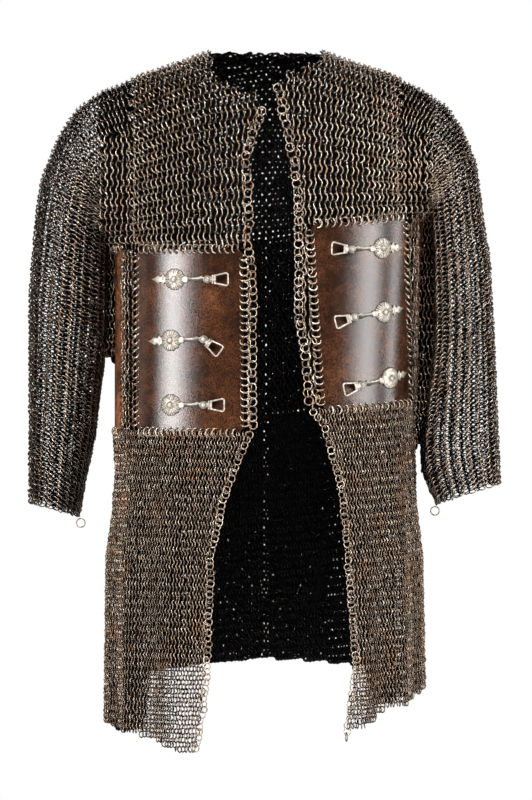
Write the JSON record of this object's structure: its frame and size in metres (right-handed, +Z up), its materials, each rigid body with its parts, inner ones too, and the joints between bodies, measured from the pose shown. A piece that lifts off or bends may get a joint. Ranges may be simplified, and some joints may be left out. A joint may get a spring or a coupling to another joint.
{
  "type": "chainmail shirt",
  "caption": "Open-fronted mail shirt with elbow-length sleeves and a skirt, front and side body plates, and cast clasps with swivelling loops.",
  "frame": {"origin": "between the shoulders, in the middle of the depth, at the height of the neck points", "axes": "+Z up from the hem to the neck, the open front faces -Y, +X to the wearer's left"},
  "size_m": [0.5351, 0.2314, 0.798],
  "materials": {
    "mail": "aged grey-brown steel with rust in the rings",
    "russet_plate": "russet-brown patinated plate with a soft grey sheen",
    "clasp_metal": "pale worn casting"
  },
  "bodies": {
    "shirt": {"back_skirt_mail": "mail", "chest_mail_left": "mail", "chest_mail_right": "mail", "clasp_left_bottom": "clasp_metal", "clasp_left_middle": "clasp_metal", "clasp_left_top": "clasp_metal", "clasp_right_bottom": "clasp_metal", "clasp_right_middle": "clasp_metal", "clasp_right_top": "clasp_metal", "front_edge_mail_left": "mail", "front_edge_mail_right": "mail", "front_plate_left": "russet_plate", "front_plate_right": "russet_plate", "loose_ring_cuff_left": "mail", "loose_ring_cuff_right": "mail", "loose_ring_hem_left": "mail", "lower_back_mail": "mail", "pivot_left_bottom": "clasp_metal", "pivot_left_middle": "clasp_metal", "pivot_left_top": "clasp_metal", "pivot_right_bottom": "clasp_metal", "pivot_right_middle": "clasp_metal", "pivot_right_top": "clasp_metal", "rivet_left_bottom": "clasp_metal", "rivet_left_middle": "clasp_metal", "rivet_left_top": "clasp_metal", "rivet_right_bottom": "clasp_metal", "rivet_right_middle": "clasp_metal", "rivet_right_top": "clasp_metal", "side_plate_left": "russet_plate", "side_plate_right": "russet_plate", "skirt_mail_left": "mail", "skirt_mail_right": "mail", "sleeve_mail_left": "mail", "sleeve_mail_right": "mail", "strip_mail_left": "mail", "strip_mail_right": "mail", "upper_back_mail": "mail"},
    "loop_right_top": {"loop_right_top": "clasp_metal"},
    "loop_right_middle": {"loop_right_middle": "clasp_metal"},
    "loop_right_bottom": {"loop_right_bottom": "clasp_metal"},
    "loop_left_top": {"loop_left_top": "clasp_metal"},
    "loop_left_middle": {"loop_left_middle": "clasp_metal"},
    "loop_left_bottom": {"loop_left_bottom": "clasp_metal"}
  },
  "joints": [
    {"name": "loop_right_top_swivel", "type": "hinge", "parent": "shirt", "child": "loop_right_top", "pos_m": [-0.06622, -0.11018, -0.24735], "axis": [-0.1742, -0.9843, -0.0298], "range_deg": [-60, 60]},
    {"name": "loop_right_middle_swivel", "type": "hinge", "parent": "shirt", "child": "loop_right_middle", "pos_m": [-0.07073, -0.10731, -0.3149], "axis": [-0.189, -0.9815, -0.0294], "range_deg": [-22, 98]},
    {"name": "loop_right_bottom_swivel", "type": "hinge", "parent": "shirt", "child": "loop_right_bottom", "pos_m": [-0.07055, -0.10512, -0.38895], "axis": [-0.1843, -0.9824, -0.0295], "range_deg": [-60, 60]},
    {"name": "loop_left_top_swivel", "type": "hinge", "parent": "shirt", "child": "loop_left_top", "pos_m": [0.09692, -0.10437, -0.21344], "axis": [0.2957, -0.9546, -0.0357], "range_deg": [-56, 64]},
    {"name": "loop_left_middle_swivel", "type": "hinge", "parent": "shirt", "child": "loop_left_middle", "pos_m": [0.10016, -0.10042, -0.28982], "axis": [0.3249, -0.945, -0.0364], "range_deg": [-68, 52]},
    {"name": "loop_left_bottom_swivel", "type": "hinge", "parent": "shirt", "child": "loop_left_bottom", "pos_m": [0.10935, -0.09384, -0.36608], "axis": [0.3942, -0.9183, -0.0381], "range_deg": [-64, 26]}
  ]
}
